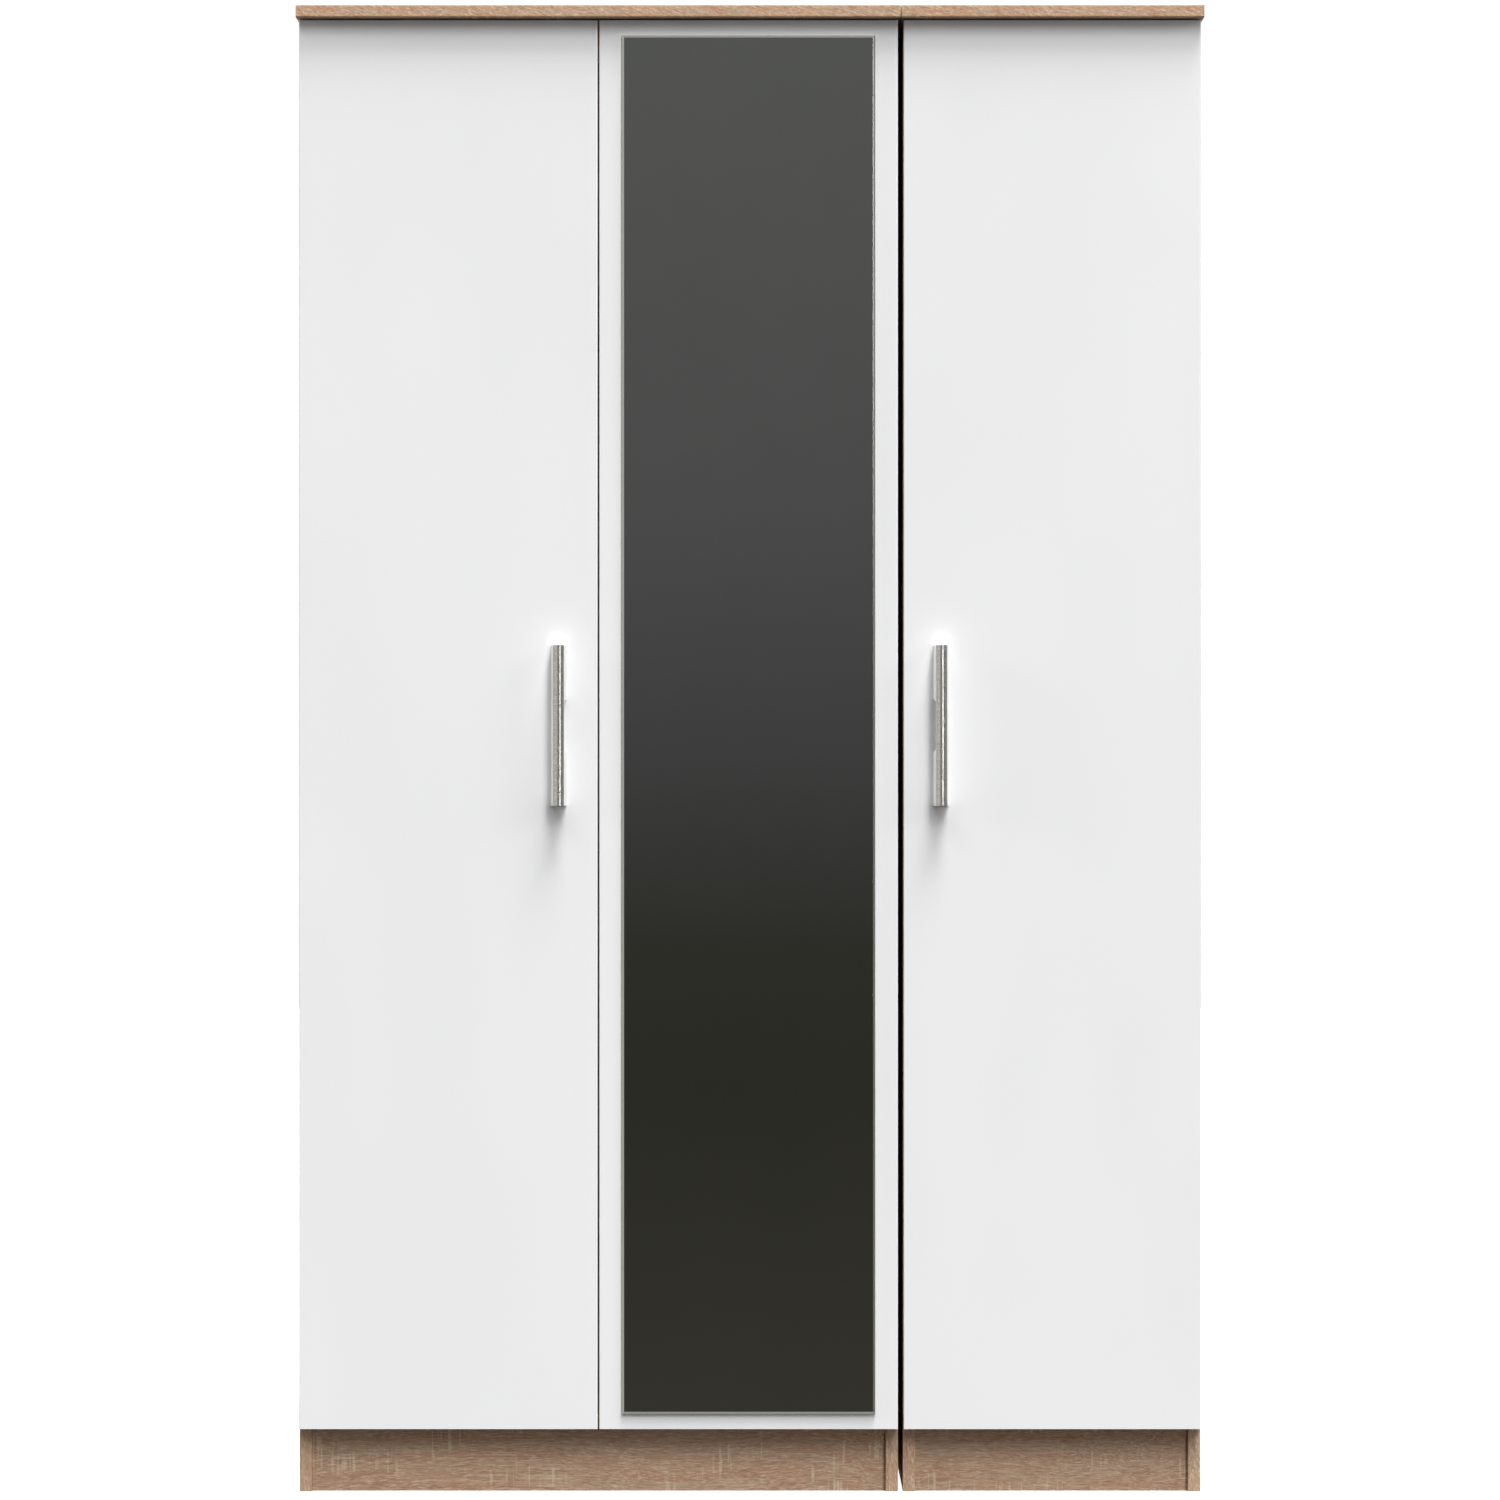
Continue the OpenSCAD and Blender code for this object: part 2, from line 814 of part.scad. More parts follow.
// Glass glued to the front of the middle door, bevelled all round.
module mirror_glass() {
  h = mirror_z1 - mirror_z0;
  y0 = y_door_front - tape_t;
  flat = mirror_t - mirror_bevel_t;
  b = mirror_bevel;
  color("lightgray") intersection() {
    // bevel along the upright edges
    translate([mirror_mid, y0, mirror_z0])
      linear_extrude(h)
        polygon([[-mirror_w / 2, 0], [-mirror_w / 2, -flat], [-mirror_w / 2 + b, -mirror_t],
          [mirror_w / 2 - b, -mirror_t], [mirror_w / 2, -flat], [mirror_w / 2, 0]]);
    // bevel along the upper and lower edges
    translate([mirror_mid - mirror_w / 2, y0, mirror_z0])
      rotate([90, 0, 90])
        linear_extrude(mirror_w)
          polygon([[0, 0], [-flat, 0], [-mirror_t, b], [-mirror_t, h - b], [-flat, h], [0, h]]);
  }
}

// Strips of adhesive tape between the glass and the door.
module mirror_tape() {
  tape_w = 19;
  tape_inset = 40;
  color("dimgray") for (x = [-mirror_w / 2 + tape_inset, -tape_w / 2, mirror_w / 2 - tape_inset - tape_w])
    block([mirror_mid + x, y_door_front - tape_t, mirror_z0 + tape_inset],
      [mirror_mid + x + tape_w, y_door_front, mirror_z1 - tape_inset]);
}

// Soft discs near a door's free edge, at the given X.
module door_buffers(x) {
  for (z = buffer_z)
    along_y(x, y_door_back, z, buffer_d, buffer_t);
}

// ---------------------------------------------------------------- handles

// Cross-section of a handle: its door face lies on y = 0 and its front is at -handle_out.
module handle_outline(inset) {
  front = handle_out - inset;
  arc_y = front - handle_front_r;
  flare = (handle_base_w - handle_front_w) / 2;
  base_w = handle_base_w - 2 * inset;
  front_w = handle_front_w - 2 * inset - flare * inset / handle_out;
  intersection() {
    polygon([[-base_w / 2, 0], [-front_w / 2, -front], [front_w / 2, -front], [base_w / 2, 0]]);
    union() {
      translate([0, -arc_y]) circle(handle_front_r, $fn = 96);
      translate([-base_w, -arc_y]) square([2 * base_w, arc_y]);
    }
  }
}

// Handle with its middle at the origin. notch_side is +1 when the finger notch is on +X.
module handle_body(notch_side) {
  end_wall = 3;
  inner = handle_l - 2 * end_wall;
  difference() {
    translate([0, 0, -handle_l / 2]) linear_extrude(handle_l) handle_outline(0);
    // hollow that is open towards the door
    difference() {
      translate([0, cut / 2, -inner / 2]) linear_extrude(inner) handle_outline(handle_wall);
      for (z = [-handle_pitch / 2, handle_pitch / 2])
        translate([0, 0, z]) rotate([90, 0, 0]) cylinder(d = handle_boss_d, h = handle_out);
    }
    // finger notch through one flank
    rotate([0, 90 * notch_side, 0])
      translate([0, 0, handle_front_w / 2 - handle_wall - 1])
        linear_extrude(handle_base_w)
          polygon([[-notch_base / 2, cut], [-notch_front / 2, -handle_out + handle_wall + 1],
            [notch_front / 2, -handle_out + handle_wall + 1], [notch_base / 2, cut]]);
    // threaded holes for the screws
    for (z = [-handle_pitch / 2, handle_pitch / 2])
      translate([0, cut, z]) rotate([90, 0, 0]) cylinder(d = handle_screw_d, h = 12 + cut);
  }
}

// Screws that come through the door from behind.
module handle_screws(x) {
  head_t = 2.4;
  for (z = handle_screw_z)
    translate([x, y_door_back + head_t, z])
      rotate([90, 0, 0])
        screw(8, head_t, handle_screw_d, door_t + 11);
}

// ---------------------------------------------------------------- sub-parts of the doors

module left_hinge_cups() {
  color("silver") at_hinges(double_x[0], 1) hinge_cup();
}

module left_cup_screws() {
  color("gainsboro") cup_screws(double_x[0], 1);
}

module left_cup_pins() {
  color("gray") cup_pins(double_x[0], 1);
}

module left_buffers() {
  color("whitesmoke") door_buffers(left_door_x[1] - buffer_edge);
}

module left_handle() {
  color("silver") translate([-handle_x, y_door_front, handle_z]) handle_body(1);
}

module left_handle_screws() {
  color("gainsboro") handle_screws(-handle_x);
}

module left_hinge_links() {
  color("silver") at_hinges(double_x[0], 1) hinge_link();
}

module mirror_hinge_cups() {
  color("silver") at_hinges(double_x[1], -1) hinge_cup();
}

module mirror_cup_screws() {
  color("gainsboro") cup_screws(double_x[1], -1);
}

module mirror_cup_pins() {
  color("gray") cup_pins(double_x[1], -1);
}

module mirror_buffers() {
  color("whitesmoke") door_buffers(mirror_door_x[0] + buffer_edge);
}

module mirror_hinge_links() {
  color("silver") at_hinges(double_x[1], -1) hinge_link();
}

module right_hinge_cups() {
  color("silver") at_hinges(single_x[1], -1) hinge_cup();
}

module right_cup_screws() {
  color("gainsboro") cup_screws(single_x[1], -1);
}

module right_cup_pins() {
  color("gray") cup_pins(single_x[1], -1);
}

module right_buffers() {
  color("whitesmoke") door_buffers(single_x[0] + board / 2);
}

module right_handle() {
  color("silver") translate([handle_x, y_door_front, handle_z]) handle_body(-1);
}

module right_handle_screws() {
  color("gainsboro") handle_screws(handle_x);
}

module right_hinge_links() {
  color("silver") at_hinges(single_x[1], -1) hinge_link();
}

double_top();
double_side_left();
double_side_right();
double_base();
double_shelf();
double_plinth();
double_rear_plinth();
double_front_rail();
double_wall_rail();
double_back_left();
double_back_right();
back_joint_strip();
single_top();
single_side_left();
single_side_right();
single_base();
single_shelf();
single_plinth();
single_rear_plinth();
single_front_rail();
single_wall_rail();
single_back();
double_hanging_rail();
single_hanging_rail();
rail_sockets();
rail_socket_screws();
cam_locks();
cam_bolts();
unit_link_bolts();
unit_link_spacers();
hinge_plates();
hinge_plate_screws();
hinge_arms();
hinge_arm_pins();
left_door();
left_hinge_cups();
left_cup_screws();
left_cup_pins();
left_buffers();
left_handle();
left_handle_screws();
left_hinge_links();
mirror_door();
mirror_glass();
mirror_tape();
mirror_hinge_cups();
mirror_cup_screws();
mirror_cup_pins();
mirror_buffers();
mirror_hinge_links();
right_door();
right_hinge_cups();
right_cup_screws();
right_cup_pins();
right_buffers();
right_handle();
right_handle_screws();
right_hinge_links();
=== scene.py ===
"""Looks of a three-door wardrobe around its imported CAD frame.

Every board, door, handle, mirror and fitting is a piece of its own with a procedural
material. Lengths are in metres, in the frame's axes: X right, Y to the back, Z up.
"""

import json
import math

import bmesh
import bpy
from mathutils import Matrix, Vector


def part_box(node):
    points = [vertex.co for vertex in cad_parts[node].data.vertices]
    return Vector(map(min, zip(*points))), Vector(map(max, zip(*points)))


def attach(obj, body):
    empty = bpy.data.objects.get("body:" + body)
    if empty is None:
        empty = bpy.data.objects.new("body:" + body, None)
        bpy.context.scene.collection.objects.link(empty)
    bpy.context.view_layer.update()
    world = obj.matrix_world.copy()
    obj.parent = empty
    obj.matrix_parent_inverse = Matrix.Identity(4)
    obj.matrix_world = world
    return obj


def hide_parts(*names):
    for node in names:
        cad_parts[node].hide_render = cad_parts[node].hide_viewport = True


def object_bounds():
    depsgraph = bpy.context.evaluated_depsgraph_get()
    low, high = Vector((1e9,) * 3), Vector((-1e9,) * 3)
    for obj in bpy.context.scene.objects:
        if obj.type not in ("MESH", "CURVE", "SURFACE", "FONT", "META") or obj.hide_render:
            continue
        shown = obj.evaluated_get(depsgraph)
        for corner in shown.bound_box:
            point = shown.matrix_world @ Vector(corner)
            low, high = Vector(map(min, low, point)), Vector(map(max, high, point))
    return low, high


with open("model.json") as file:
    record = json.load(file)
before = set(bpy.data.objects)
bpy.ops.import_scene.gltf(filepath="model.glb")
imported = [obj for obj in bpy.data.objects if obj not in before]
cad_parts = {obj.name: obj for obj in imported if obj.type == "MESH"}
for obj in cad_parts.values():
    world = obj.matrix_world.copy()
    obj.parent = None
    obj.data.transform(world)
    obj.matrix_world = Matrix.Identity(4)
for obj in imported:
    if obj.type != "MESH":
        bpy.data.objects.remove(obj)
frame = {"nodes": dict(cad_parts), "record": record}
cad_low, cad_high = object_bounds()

MM = 0.001
NODES = frame["nodes"]
BODY_OF = {
    node: body
    for body, members in frame["record"]["behaviour"]["bodies"].items()
    for node in members
}

# ------------------------------------------------------------------ node helpers


class Graph:
    """The node tree of a material or a world, with short calls for making and linking nodes."""

    def __init__(self, owner):
        owner.use_nodes = True
        self.owner = owner
        self.tree = owner.node_tree
        self.tree.nodes.clear()

    def put(self, socket, value):
        """Links value to socket if it is a socket, or sets it as a constant."""
        if isinstance(value, bpy.types.NodeSocket):
            self.tree.links.new(value, socket)
        else:
            socket.default_value = value

    def node(self, kind, inputs=None, **settings):
        made = self.tree.nodes.new("ShaderNode" + kind)
        for key, value in settings.items():
            setattr(made, key, value)
        for key, value in (inputs or {}).items():
            self.put(made.inputs[key], value)
        return made

    def object_coords(self):
        return self.node("TexCoord").outputs["Object"]

    def scaled(self, vector, scale):
        return self.node("VectorMath", {0: vector, 1: scale}, operation="MULTIPLY").outputs[0]

    def added(self, vector, other):
        return self.node("VectorMath", {0: vector, 1: other}, operation="ADD").outputs[0]

    def math(self, operation, *values, clamp=False):
        inputs = dict(enumerate(values))
        return self.node("Math", inputs, operation=operation, use_clamp=clamp).outputs[0]

    def noise(self, vector, detail=2.0, roughness=0.5, distortion=0.0):
        """Noise whose scale is set by the vector alone."""
        inputs = {"Vector": vector, "Scale": 1.0, "Detail": detail,
                  "Roughness": roughness, "Distortion": distortion}
        return self.node("TexNoise", inputs).outputs["Fac"]

    def remap(self, value, from_low, from_high, to_low=0.0, to_high=1.0):
        inputs = {"Value": value, "From Min": from_low, "From Max": from_high,
                  "To Min": to_low, "To Max": to_high}
        return self.node("MapRange", inputs, interpolation_type="SMOOTHSTEP").outputs["Result"]

    def mix(self, factor, a, b, blend="MIX"):
        """Mix of two colours. The Mix node has its colours on inputs 6 and 7 and output 2."""
        inputs = {0: factor, 6: a, 7: b}
        return self.node("Mix", data_type="RGBA", blend_type=blend, inputs=inputs).outputs[2]

    def ramp(self, value, stops):
        """Colour ramp from a list of (position, linear colour)."""
        made = self.node("ValToRGB", {"Fac": value})
        elements = made.color_ramp.elements
        while len(elements) < len(stops):
            elements.new(0.5)
        for element, (position, colour) in zip(elements, stops):
            element.position = position
            element.color = (*colour, 1.0)
        return made.outputs["Color"]

    def bump(self, height, strength, distance):
        inputs = {"Height": height, "Strength": strength, "Distance": distance}
        return self.node("Bump", inputs).outputs["Normal"]

    def finish(self, **inputs):
        """Ends a material with one Principled shader. Keys are socket names with _ for spaces."""
        sockets = {key.replace("_", " "): value for key, value in inputs.items()}
        shader = self.node("BsdfPrincipled", sockets)
        self.node("OutputMaterial", {"Surface": shader.outputs[0]})
        return self.owner


def material_graph(name):
    return Graph(bpy.data.materials.new(name))


def rgb(red, green, blue):
    """Linear colour from display values between 0 and 255."""
    def linear(value):
        part = value / 255
        return part / 12.92 if part <= 0.04045 else ((part + 0.055) / 1.055) ** 2.4
    return (linear(red), linear(green), linear(blue))


def rgba(red, green, blue):
    return (*rgb(red, green, blue), 1.0)


# ------------------------------------------------------------------ materials

OAK_PINK = rgba(190, 151, 123)
OAK_BEIGE = rgba(188, 159, 133)
DARK_LINE = rgba(156, 120, 96)
PALE_LINE = rgba(214, 185, 158)
DARK_FIBRE = rgba(138, 104, 82)
PALE_FIBRE = rgba(228, 204, 180)
SAW_MARK = rgba(222, 200, 172)


def oak(name, grain_axis, turn_degrees=0.0, fine=1.0, sawn=0.75):
    """Sawn oak laminate with its grain along axis 0, 1 or 2, or turned off it in the front face.

    A fine value above 1 shortens the streaks, and sawn is the strength of the saw marks.
    """
    g = material_graph(name)
    plank = g.node("Attribute", attribute_name="plank").outputs["Vector"]
    place = g.added(g.object_coords(), plank)
    if turn_degrees:
        inputs = {"Vector": place, "Angle": math.radians(turn_degrees)}
        place = g.node("VectorRotate", inputs, rotation_type="Y_AXIS").outputs[0]

    def grid(vector, along, across):
        """Coordinates that run at one rate along the grain and another across it."""
        scale = [across] * 3
        scale[grain_axis] = along
        return g.scaled(vector, tuple(scale))

    # the grain bends gently everywhere and sweeps into arches in a few places
    gentle = g.math("MULTIPLY", g.math("SUBTRACT", g.noise(grid(place, 3.0, 9.0)), 0.5), 0.05)
    sweep = g.math("MULTIPLY", g.math("SUBTRACT", g.noise(grid(place, 9.0, 12.0)), 0.5), 0.045)
    arches = g.remap(g.noise(grid(place, 3.3, 6.0), detail=1.0), 0.52, 0.66)
    shift = g.math("ADD", gentle, g.math("MULTIPLY", sweep, arches))
    bent = g.added(place, g.node("CombineXYZ", {0: shift, 1: shift, 2: shift}).outputs[0])

    bands = g.noise(grid(bent, 4.5 * fine, 105.0), detail=3.0, roughness=0.55)
    lines = g.noise(grid(bent, 11.0 * fine, 420.0), detail=2.0, roughness=0.6)
    fibres = g.noise(grid(bent, 90.0 * fine, 900.0), detail=2.0, roughness=0.65)
    colour = g.mix(g.remap(bands, 0.36, 0.64), OAK_PINK, OAK_BEIGE)
    # streaks: the noise, where in it they begin and are full, how strong they are, and their colour
    for streaks, begin, full, strength, tone in (
            (lines, 0.46, 0.32, 0.45, DARK_LINE), (lines, 0.53, 0.66, 0.6, PALE_LINE),
            (fibres, 0.46, 0.33, 0.55, DARK_FIBRE), (fibres, 0.54, 0.68, 0.65, PALE_FIBRE)):
        colour = g.mix(g.remap(streaks, begin, full, 0.0, strength), colour, tone)

    # pale saw marks cross the grain in patches
    saw = g.remap(g.noise(grid(place, 260.0, 15.0), detail=1.0), 0.55, 0.64)
    patch = g.remap(g.noise(grid(place, 8.0, 14.0), detail=2.0, roughness=0.6), 0.50, 0.60)
    broken = g.remap(fibres, 0.36, 0.54, 0.35, 1.0)
    marks = g.math("MULTIPLY", g.math("MULTIPLY", saw, patch), broken)
    colour = g.mix(g.math("MULTIPLY", marks, sawn), colour, SAW_MARK)

    relief = g.math("ADD", fibres, g.math("MULTIPLY", marks, -0.5))
    rough = g.remap(lines, 0.3, 0.7, 0.5, 0.62)
    return g.finish(Base_Color=colour, Roughness=rough, Specular_IOR_Level=0.3,
                    Normal=g.bump(relief, 0.2, 0.12 * MM))


def white_gloss():
    """White high-gloss foil with a faint orange-peel ripple."""
    g = material_graph("white_gloss_foil")
    place = g.object_coords()
    ripple = g.noise(g.scaled(place, (260.0, 260.0, 260.0)), detail=1.0)
    waves = g.noise(g.scaled(place, (7.0, 7.0, 3.0)), detail=1.0)
    height = g.math("ADD", g.math("MULTIPLY", ripple, 0.05), waves)
    colour = g.mix(g.remap(waves, 0.3, 0.7), rgba(238, 238, 239), rgba(240, 240, 240))
    rough = g.remap(ripple, 0.3, 0.7, 0.11, 0.15)
    return g.finish(Base_Color=colour, Roughness=rough, Specular_IOR_Level=0.5,
                    Coat_Weight=0.25, Coat_Roughness=0.06, Normal=g.bump(height, 0.12, 0.2 * MM))


def mirror_silver():
    """Silvered glass: almost clear reflection with the faintest haze."""
    g = material_graph("mirror_silver")
    haze = g.noise(g.scaled(g.object_coords(), (6.0, 6.0, 4.0)), detail=4.0, roughness=0.6)
    rough = g.remap(haze, 0.4, 0.8, 0.0, 0.02)
    tint = g.mix(g.remap(haze, 0.3, 0.8), rgba(243, 246, 245), rgba(238, 242, 240))
    return g.finish(Base_Color=tint, Metallic=1.0, Roughness=rough)


def mirror_bevel():
    """Polished bevel of the glass, slightly green with faint grinding lines."""
    g = material_graph("mirror_bevel")
    lines = g.noise(g.scaled(g.object_coords(), (900.0, 900.0, 900.0)), detail=1.0)
    tint = g.mix(lines, rgba(198, 199, 192), rgba(210, 211, 204))
    return g.finish(Base_Color=tint, Metallic=0.85, Roughness=g.remap(lines, 0.2, 0.8, 0.05, 0.14))


def brushed_handle(name, tones, metallic, rough, anisotropic=0.0):
    """Satin metal with uneven brush lines across the handle. Tones are dark, dull and light."""
    g = material_graph(name)
    place = g.object_coords()
    lines = g.noise(g.scaled(place, (260.0, 260.0, 900.0)), detail=2.0, roughness=0.6)
    cloud = g.noise(g.scaled(place, (30.0, 30.0, 30.0)), detail=2.0)
    dark, dull, light = (rgba(*tone) for tone in tones)
    tint = g.mix(g.remap(lines, 0.35, 0.65), dark, light)
    tint = g.mix(g.remap(cloud, 0.3, 0.7, 0.0, 0.2), tint, dull)
    tangent = g.node("Tangent", direction_type="RADIAL", axis="Z").outputs[0]
    roughness = g.remap(cloud, 0.3, 0.7, rough - 0.02, rough + 0.02)
    return g.finish(Base_Color=tint, Metallic=metallic, Roughness=roughness, Tangent=tangent,
                    Anisotropic=anisotropic, Anisotropic_Rotation=0.25,
                    Normal=g.bump(lines, 0.6, 0.2 * MM))


def shades(colour, darker):
    """A linear colour twice, the first time darker by that factor."""
    return (*[darker * part for part in colour], 1.0), (*colour, 1.0)


def plated(name, colour, rough):
    """Nickel, zinc or chrome plate with faint handling marks."""
    g = material_graph(name)
    place = g.object_coords()
    marks = g.noise(g.scaled(place, (140.0, 140.0, 140.0)), detail=4.0, roughness=0.7)
    tint = g.mix(g.remap(marks, 0.3, 0.7), *shades(colour, 0.86))
    roughness = g.remap(marks, 0.3, 0.7, rough * 0.7, rough * 1.4)
    return g.finish(Base_Color=tint, Metallic=1.0, Roughness=roughness,
                    Normal=g.bump(marks, 0.08, 0.05 * MM))


def plastic(name, colour, rough, grain=900.0):
    """Moulded plastic with a fine spark-eroded texture."""
    g = material_graph(name)
    texture = g.noise(g.scaled(g.object_coords(), (grain, grain, grain)), detail=2.0)
    tint = g.mix(g.remap(texture, 0.3, 0.7), *shades(colour, 0.88))
    roughness = g.remap(texture, 0.3, 0.7, rough - 0.05, rough + 0.05)
    return g.finish(Base_Color=tint, Roughness=roughness, Normal=g.bump(texture, 0.2, 0.05 * MM))


def hardboard():
    """Raw pressed fibre board: warm brown with short pale and dark fibres."""
    g = material_graph("hardboard_raw")
    place = g.object_coords()
    fibre = g.noise(g.scaled(place, (420.0, 420.0, 420.0)), detail=5.0, roughness=0.75, distortion=1.5)
    cloud = g.noise(g.scaled(place, (9.0, 9.0, 9.0)), detail=3.0)
    browns = [(0.3, rgb(104, 76, 52)), (0.5, rgb(139, 104, 74)), (0.7, rgb(166, 130, 96))]
    tint = g.ramp(fibre, browns)
    tint = g.mix(g.remap(cloud, 0.35, 0.65, 0.0, 0.3), tint, rgba(122, 90, 63))
    return g.finish(Base_Color=tint, Roughness=g.remap(fibre, 0.3, 0.7, 0.65, 0.8),
                    Normal=g.bump(fibre, 0.3, 0.1 * MM))


def clear_soft():
    """Soft translucent buffer material."""
    g = material_graph("soft_clear")
    cloud = g.noise(g.scaled(g.object_coords(), (500.0, 500.0, 500.0)), detail=2.0)
    tint = g.mix(cloud, rgba(222, 226, 226), rgba(238, 241, 241))
    return g.finish(Base_Color=tint, Roughness=g.remap(cloud, 0.3, 0.7, 0.22, 0.34),
                    Subsurface_Weight=0.4, Subsurface_Radius=(0.002, 0.002, 0.002))


# a board's slots: 0, 1 and 2 are the grain's axis, and the last two are its edge bands
BAND_ACROSS = 3
BAND_UPRIGHT = 4
OAK = [
    oak("oak_grain_across", 0),
    oak("oak_grain_deep", 1),
    oak("oak_grain_upright", 2),
    oak("oak_edge_across", 0, turn_degrees=-19.0, fine=2.0, sawn=0.0),
    oak("oak_edge_upright", 2, turn_degrees=13.0, fine=2.0, sawn=0.0),
]
WHITE = white_gloss()
SILVER = mirror_silver()
BEVEL = mirror_bevel()
FRONT_TONES = ((190, 187, 184), (184, 181, 178), (208, 206, 205))
# painted sheen: the flanks and upper end get near-white, mostly diffuse tones, so they read as lit and
# throw a pale glow onto the door
PAINTED_SHEEN_TONES = ((232, 232, 232), (228, 228, 228), (252, 252, 252))
FLANK, FRONT, END = range(3)
HANDLE = [
    brushed_handle("handle_flank_painted_sheen", PAINTED_SHEEN_TONES, 0.12, 0.45),
    brushed_handle("handle_front", FRONT_TONES, 1.0, 0.25, 1.0),
    brushed_handle("handle_end_painted_sheen", PAINTED_SHEEN_TONES, 0.1, 0.6),
]
CHROME = plated("chrome_plate", rgb(224, 226, 228), 0.08)
NICKEL = plated("nickel_plate", rgb(212, 210, 204), 0.22)
ZINC = plated("zinc_plate", rgb(196, 197, 196), 0.34)
PIN_STEEL = plated("pin_steel", rgb(150, 150, 150), 0.25)
BROWN_PLASTIC = plastic("brown_plastic", rgb(108, 82, 60), 0.5)
DARK_PLASTIC = plastic("dark_plastic", rgb(54, 49, 46), 0.55)
FOAM = plastic("foam_tape", rgb(92, 92, 94), 0.8, 2500.0)
HARDBOARD = hardboard()
CLEAR = clear_soft()

# ------------------------------------------------------------------ mesh helpers


def cad_mesh(node):
    """A clean editable copy of a CAD node's mesh: welded, with flat faces joined up."""
    bm = bmesh.new()
    bm.from_mesh(NODES[node].data)
    bmesh.ops.remove_doubles(bm, verts=bm.verts, dist=1e-6)
    bmesh.ops.dissolve_limit(bm, angle_limit=math.radians(0.5), verts=bm.verts, edges=bm.edges,
                             delimit={"NORMAL"})
    bm.normal_update()
    return bm


def bevel_edges(bm, edges, width, segments):
    bmesh.ops.bevel(bm, geom=edges, offset=width, offset_type="OFFSET", segments=segments,
                    profile=0.5, affect="EDGES", clamp_overlap=True)
    bm.normal_update()


def outer_box_edges(bm):
    """The edges that lie on the twelve edges of the mesh's own box."""
    lows = [min(v.co[i] for v in bm.verts) for i in range(3)]
    highs = [max(v.co[i] for v in bm.verts) for i in range(3)]
    tiny = 1e-5

    def on_box_edge(edge):
        sides = 0
        for i in range(3):
            for value in (lows[i], highs[i]):
                if all(abs(v.co[i] - value) < tiny for v in edge.verts):
                    sides += 1
        return sides >= 2

    return [e for e in bm.edges if on_box_edge(e)]


def sharp_edges(bm, degrees):
    limit = math.radians(degrees)
    return [e for e in bm.edges if len(e.link_faces) == 2 and e.calc_face_angle(0) > limit]


def cut_across(bm, step):
    """Level cuts at even steps, so that long narrow faces shade evenly."""
    low = min(v.co.z for v in bm.verts)
    high = max(v.co.z for v in bm.verts)
    count = int((high - low) / step)
    for number in range(1, count + 1):
        height = low + (number - 0.5) * (high - low) / count
        everything = bm.verts[:] + bm.edges[:] + bm.faces[:]
        bmesh.ops.bisect_plane(bm, geom=everything, dist=1e-6, plane_co=(0.0, 0.0, height),
                               plane_no=(0.0, 0.0, 1.0))


def piece_from(bm, name, materials, smooth_below=40.0):
    """Makes the object, shaded smooth where its faces meet at a small angle."""
    mesh = bpy.data.meshes.new(name)
    bm.to_mesh(mesh)
    bm.free()
    for material in materials:
        mesh.materials.append(material)
    mesh.shade_smooth()
    mesh.set_sharp_from_angle(angle=math.radians(smooth_below))
    made = bpy.data.objects.new(name, mesh)
    bpy.context.scene.collection.objects.link(made)
    normals = made.modifiers.new("weighted", "WEIGHTED_NORMAL")
    normals.keep_sharp = True
    return made


def stand_for(made, node):
    """The piece rides with its CAD node's body and hides the node."""
    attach(made, BODY_OF[node])
    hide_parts(node)
    return made


PLANK_STEP = (3.17, 1.93, 2.41)


def set_plank(made, index):
    """Shifts the grain so that no two boards show the same stretch of wood."""
    shift = made.data.attributes.new("plank", "FLOAT_VECTOR", "POINT")
    offset = Vector([step * index for step in PLANK_STEP])
    for item in shift.data:
        item.vector = offset


# ------------------------------------------------------------------ boards

TOP_EDGE_R = 0.12 * MM
BOARD_EDGE_R = 0.35 * MM
BAND_MAX_WIDTH = 20 * MM
FIRST_BACK_PLANK = 40


def grain_slot(normal, grain_axis, sizes):
    """Material slot of a face: the board's grain, or an edge band on a narrow front or rear edge."""
    axis = max(range(3), key=lambda i: abs(normal[i]))
    others = [i for i in range(3) if i != axis]
    along = grain_axis if axis != grain_axis else max(others, key=lambda i: sizes[i])
    narrow = min(sizes[i] for i in others) < BAND_MAX_WIDTH
    if axis == 1 and narrow:
        return BAND_ACROSS if along == 0 else BAND_UPRIGHT
    return along


def board(node, grain_axis, index, edge_r):
    bm = cad_mesh(node)
    bevel_edges(bm, outer_box_edges(bm), edge_r, 2)
    low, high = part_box(node)
    sizes = high - low
    for face in bm.faces:
        face.material_index = grain_slot(face.normal, grain_axis, sizes)
    made = piece_from(bm, node + "_board", OAK)
    set_plank(made, index)
    return stand_for(made, node)


BOARD_GRAIN = {"top": 0, "base": 0, "shelf": 0, "plinth": 0, "rear_plinth": 0,
               "front_rail": 0, "wall_rail": 0, "side_left": 2, "side_right": 2}
board_nodes = [(unit + "_" + part, axis) for unit in ("double", "single")
               for part, axis in BOARD_GRAIN.items()]
for number, (node, axis) in enumerate(board_nodes):
    board(node, axis, number + 1, TOP_EDGE_R if node.endswith("_top") else BOARD_EDGE_R)


def back_panel(node, index):
    """Thin back: oak foil on the inside, raw fibre outside."""
    bm = cad_mesh(node)
    for face in bm.faces:
        face.material_index = 0 if face.normal.y < -0.5 else 1
    made = piece_from(bm, node + "_sheet", [OAK[2], HARDBOARD])
    set_plank(made, index)
    return stand_for(made, node)


for number, node in enumerate(("double_back_left", "double_back_right", "single_back")):
    back_panel(node, FIRST_BACK_PLANK + number)

# ------------------------------------------------------------------ doors and mirror

DOOR_UPRIGHT_R = 1.4 * MM
DOOR_LEVEL_R = 0.4 * MM
GLASS_EDGE_R = 0.15 * MM
